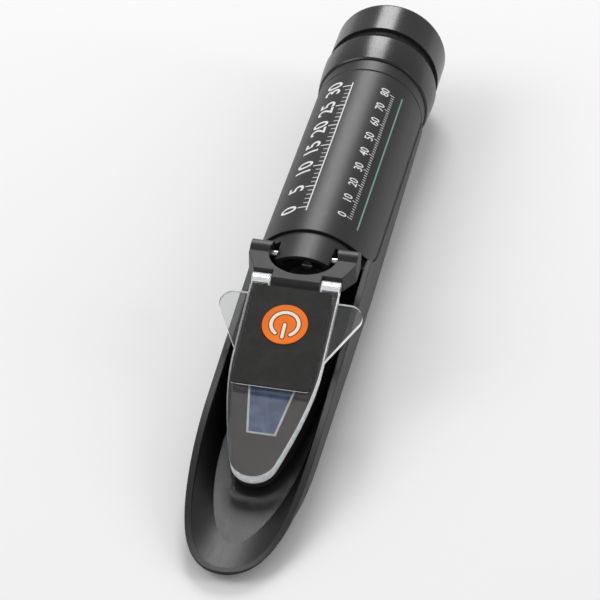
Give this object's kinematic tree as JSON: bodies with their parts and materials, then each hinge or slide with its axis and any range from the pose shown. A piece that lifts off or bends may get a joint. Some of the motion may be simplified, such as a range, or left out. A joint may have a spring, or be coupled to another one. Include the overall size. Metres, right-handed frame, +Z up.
{
  "type": "handheld refractometer",
  "caption": "Handheld refractometer: tube with focusing eyepiece, scoop-shaped case, prism and hinged clear plate with a lit key.",
  "frame": {"origin": "on the flat underside, directly below the front edge of the top cover", "axes": "+Y along the tube towards the eyepiece, +Z up through the daylight plate, +X to the right seen from the scoop's end"},
  "size_m": [0.0342, 0.199, 0.0302],
  "materials": {
    "black_plastic": "satin, fine grain",
    "black_gloss": "semi-gloss",
    "eyecup_rubber": "smooth satin",
    "black_rubber": "matt, fine texture",
    "clear_plastic": "clear polycarbonate",
    "orange_plastic": "satin, printed standby sign",
    "circuit_board": "solder mask",
    "emitter": "cast resin",
    "stage_metal": "matt dark grey",
    "prism_glass": "polished",
    "lens_glass": "polished",
    "pale_cement": "matt",
    "barrel_metal": "black anodised",
    "bimetal": "rolled strip",
    "steel": "bright"
  },
  "bodies": {
    "housing": {"lower_case": "black_plastic", "top_cover": "black_plastic", "hinge_block": "black_plastic", "prism_stage": "stage_metal", "prism": "prism_glass", "prism_gasket": "pale_cement", "optical_barrel": "barrel_metal", "focus_seal": "black_rubber", "bimetal_strip": "bimetal", "light_baffle": "barrel_metal", "reticle_holder": "barrel_metal", "reticle": "lens_glass", "reticle_retainer": "barrel_metal", "collar_ring": "black_plastic"},
    "yoke": {"hinge_yoke": "black_plastic", "yoke_pins": "steel", "plate_pin": "steel"},
    "plate": {"daylight_plate": "clear_plastic", "light_pad": "black_rubber", "circuit_board": "circuit_board", "dome_switch": "steel", "coin_cell": "steel", "light_emitters": "emitter"},
    "key": {"power_key": "orange_plastic"},
    "calibration": {"calibration_screw": "steel"},
    "objective": {"objective_cell": "barrel_metal", "objective_lens": "lens_glass"},
    "ocular": {"ocular_tube": "barrel_metal", "field_lens": "lens_glass", "lens_spacer": "barrel_metal", "eye_lens": "lens_glass", "ocular_retainer": "barrel_metal"},
    "focus": {"focus_ring": "black_gloss", "eyecup": "eyecup_rubber"}
  },
  "joints": [
    {"name": "yoke_hinge", "type": "hinge", "parent": "housing", "child": "yoke", "pos_m": [0, -0.0068, 0.0255], "axis": [-1, 0, 0], "range_deg": [0, 110]},
    {"name": "plate_hinge", "type": "hinge", "parent": "yoke", "child": "plate", "pos_m": [0, -0.0168, 0.025], "axis": [-1, 0, 0], "range_deg": [0, 60]},
    {"name": "key_press", "type": "slide", "parent": "plate", "child": "key", "axis": [0, 0.342, -0.9397], "range_m": [0, 0.0003], "stiffness_N_per_m": 600},
    {"name": "calibration_turn", "type": "hinge", "parent": "housing", "child": "calibration", "pos_m": [0, -0.0042, 0.0221], "axis": [0, 1, 0], "range_deg": [-540, 540]},
    {"name": "objective_slide", "type": "slide", "parent": "housing", "child": "objective", "axis": [0, 1, 0], "range_m": [-0.0005, 0.0005]},
    {"name": "focus_slide", "type": "slide", "parent": "housing", "child": "ocular", "axis": [0, 1, 0], "range_m": [0, 0.003]},
    {"name": "focus_turn", "type": "hinge", "parent": "ocular", "child": "focus", "pos_m": [0, 0.09, 0.0151], "axis": [0, 1, 0], "range_deg": [0, 360]}
  ],
  "couplings": [
    {"joint": "calibration_turn", "follows": "objective_slide", "rad_per_m": -12565},
    {"joint": "focus_turn", "follows": "focus_slide", "rad_per_m": 2094.2}
  ]
}
